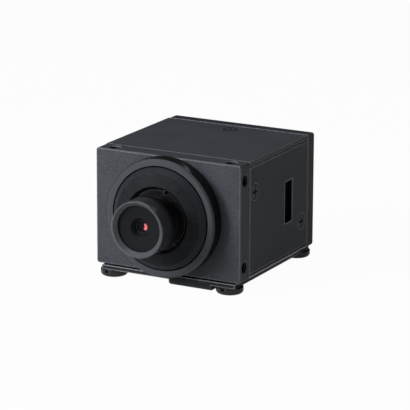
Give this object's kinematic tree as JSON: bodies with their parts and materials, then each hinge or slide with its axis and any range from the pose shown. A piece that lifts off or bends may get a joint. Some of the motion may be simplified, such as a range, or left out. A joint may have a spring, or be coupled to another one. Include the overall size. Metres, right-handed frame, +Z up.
{
  "type": "machine vision camera",
  "caption": "Compact boxed industrial camera with a round lens mount, a small focusing lens with a lock ring, a side port and a footed base plate.",
  "frame": {"origin": "middle of the bounding box, at the soles of the feet", "axes": "+Z up, -Y the way the lens looks, +X towards the side with the port"},
  "size_m": [0.06, 0.0908, 0.0489],
  "materials": {
    "painted_body": "fine textured black paint",
    "painted_cover": "fine grained black paint",
    "painted_panel": "fine grained black paint",
    "black_screw": "blackened steel",
    "steel_screw": "plain steel",
    "foot_black": "glossy black",
    "anodised_ring": "black anodised, satin",
    "anodised_disc": "black anodised, matte",
    "anodised_dark": "black anodised, matte",
    "lens_black": "black anodised, satin",
    "cap_black": "black, matte",
    "cell_grey": "dark grey anodised",
    "lens_glass": "coated glass",
    "filter_glass": "clear tinted glass",
    "ceramic_package": "ceramic",
    "sensor_face": "silicon",
    "circuit_board": "green solder mask",
    "plated_spacer": "nickel plated",
    "black_plastic": "moulded black plastic",
    "gold_contact": "gold plated",
    "plated_shell": "satin nickel",
    "light_pipe": "clear plastic",
    "lamp_body": "small lamp"
  },
  "bodies": {
    "housing": {"front_plate": "painted_body", "rear_plate": "painted_body", "chassis": "painted_body", "top_cover": "painted_cover", "right_side_panel": "painted_panel", "left_side_panel": "painted_panel", "side_panel_screws": "black_screw", "top_cover_screw": "black_screw", "tie_screws": "black_screw", "base_plate_screws": "black_screw", "mount_screws": "steel_screw", "board_screws": "steel_screw", "base_plate": "painted_body", "foot_front_right": "foot_black", "foot_rear_right": "foot_black", "foot_front_left": "foot_black", "foot_rear_left": "foot_black", "mount_ring": "anodised_ring", "mount_disc": "anodised_disc", "lens_carrier": "anodised_dark", "infrared_filter": "filter_glass", "filter_keeper_ring": "anodised_dark", "sensor_package": "ceramic_package", "sensor_die": "sensor_face", "sensor_cover_glass": "filter_glass", "sensor_board": "circuit_board", "processor_board": "circuit_board", "interface_board": "circuit_board", "front_spacers": "plated_spacer", "middle_spacers": "plated_spacer", "rear_spacers": "plated_spacer", "processor_chip": "black_plastic", "front_board_connector": "black_plastic", "rear_board_connector": "black_plastic", "side_port": "black_plastic", "network_jack": "plated_spacer", "network_jack_contacts": "gold_contact", "io_connector_shell": "plated_shell", "io_connector_nut": "plated_shell", "io_connector_insert": "black_plastic", "io_connector_pins": "gold_contact", "status_light_pipe": "light_pipe", "status_lamp": "lamp_body"},
    "optics": {"optics_cell": "cell_grey", "front_element": "lens_glass", "aperture_stop": "anodised_dark", "element_spacer": "anodised_dark", "rear_element": "lens_glass", "cell_keeper_ring": "anodised_dark"},
    "barrel": {"lens_barrel": "lens_black", "front_cap": "cap_black", "barrel_keeper_ring": "anodised_dark"},
    "lock": {"lock_ring": "anodised_ring"}
  },
  "joints": [
    {"name": "lens_travel", "type": "slide", "parent": "housing", "child": "optics", "axis": [0, -1, 0], "range_m": [-0.0005, 0.001]},
    {"name": "barrel_turn", "type": "hinge", "parent": "optics", "child": "barrel", "pos_m": [0, -0.03265, 0.0266], "axis": [0, -1, 0], "range_deg": [-360, 720]},
    {"name": "lock_turn", "type": "hinge", "parent": "housing", "child": "lock", "pos_m": [0, -0.02915, 0.0266], "axis": [0, -1, 0], "range_deg": [0, 180]}
  ],
  "couplings": [
    {"joint": "barrel_turn", "follows": "lens_travel", "rad_per_m": 12566}
  ]
}
